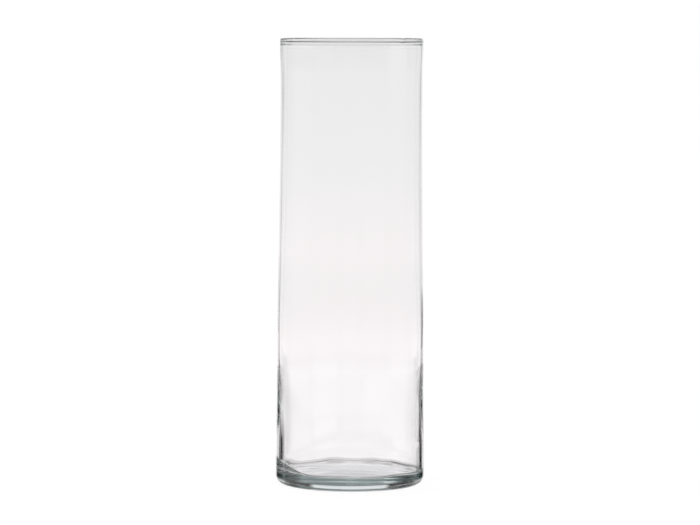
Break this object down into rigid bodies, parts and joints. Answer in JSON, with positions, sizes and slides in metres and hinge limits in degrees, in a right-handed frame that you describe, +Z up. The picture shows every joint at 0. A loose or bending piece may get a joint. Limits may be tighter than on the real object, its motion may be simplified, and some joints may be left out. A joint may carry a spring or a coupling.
{
  "type": "glass cylinder vase",
  "caption": "Tall clear glass cylinder vase with a thick rounded base and a fire-polished rim, standing free.",
  "frame": {"origin": "on the vase's axis, at the surface that it stands on", "axes": "+Z up along the vase's axis, from the foot to the open mouth; X and Y are level and interchangeable"},
  "size_m": [0.1, 0.1, 0.3],
  "materials": {
    "base_glass": "clear soda-lime glass, thick enough to show its faint teal tint",
    "wall_glass": "clear blown soda-lime glass, smooth, with a faint waviness",
    "rim_glass": "clear fire-polished glass bead"
  },
  "bodies": {
    "root": {"base": "base_glass", "side_wall": "wall_glass", "rim": "rim_glass"}
  },
  "joints": []
}
